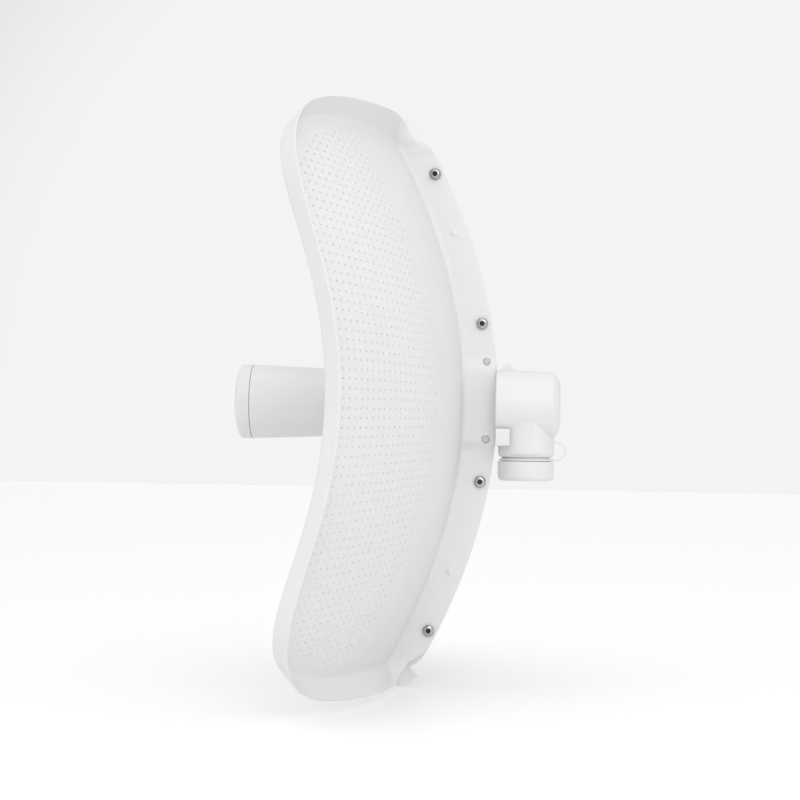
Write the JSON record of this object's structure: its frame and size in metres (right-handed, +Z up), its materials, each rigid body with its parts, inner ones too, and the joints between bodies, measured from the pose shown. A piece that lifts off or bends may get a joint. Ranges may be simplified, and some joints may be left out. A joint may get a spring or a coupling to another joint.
{
  "type": "outdoor wireless bridge",
  "caption": "Two-piece perforated dish antenna with a feed tube through its spine and a radio housing behind, its cable port under a tethered screw cap.",
  "frame": {"origin": "centre of the flat area between the upper inner screw and the upper pin on the outer face of the right wing's flange, where a bracket clamps the spine", "axes": "+Z up, -Y the way the antenna looks, +X out of the right flange's outer face"},
  "size_m": [0.5183, 0.2695, 0.4646],
  "materials": {
    "white_powder_coat": "satin white powder coat",
    "white_plastic": "satin white moulding",
    "stainless_steel": "plain",
    "grey_plastic": "matt grey",
    "grey_rubber": "matt",
    "board_green": "solder resist",
    "tinned_steel": "tinned",
    "dark_plastic": "matt"
  },
  "bodies": {
    "antenna": {"wing_right": "white_powder_coat", "wing_left": "white_powder_coat", "spine_screw_1": "stainless_steel", "spine_screw_2": "stainless_steel", "spine_screw_3": "stainless_steel", "spine_screw_4": "stainless_steel", "spine_nut_1": "stainless_steel", "spine_nut_2": "stainless_steel", "spine_nut_3": "stainless_steel", "spine_nut_4": "stainless_steel", "locating_pin_upper": "grey_plastic", "locating_pin_lower": "grey_plastic", "feed_tube": "white_plastic", "feed_front_cap": "white_plastic", "front_cap_seal": "grey_rubber", "sub_reflector": "tinned_steel", "feed_radiator": "tinned_steel", "radio_board": "board_green", "shield_can": "tinned_steel", "board_screw_1": "stainless_steel", "board_screw_2": "stainless_steel", "rear_housing": "white_plastic", "tongue_seal": "grey_rubber", "ethernet_jack": "tinned_steel", "port_plate": "grey_plastic", "port_gasket": "grey_rubber", "tether_strap": "white_plastic"},
    "port_cap": {"port_cap": "white_plastic"},
    "tether": {"tether_ring": "white_plastic"},
    "button": {"reset_button": "dark_plastic"}
  },
  "joints": [
    {"name": "cap_drop", "type": "slide", "parent": "antenna", "child": "tether", "axis": [0, 0, -1], "range_m": [0, 0.0115], "deforming": ["tether_strap"]},
    {"name": "cap_turn", "type": "hinge", "parent": "tether", "child": "port_cap", "pos_m": [-0.00145, 0.0367, -0.097], "axis": [0, 0, -1], "range_deg": [0, 1080]},
    {"name": "reset_press", "type": "slide", "parent": "antenna", "child": "button", "axis": [0, 0, 1], "range_m": [0, 0.0006], "stiffness_N_per_m": 400, "springref_m": -0.001}
  ],
  "couplings": [
    {"joint": "cap_drop", "follows": "cap_turn", "m_per_rad": 0.0006}
  ]
}
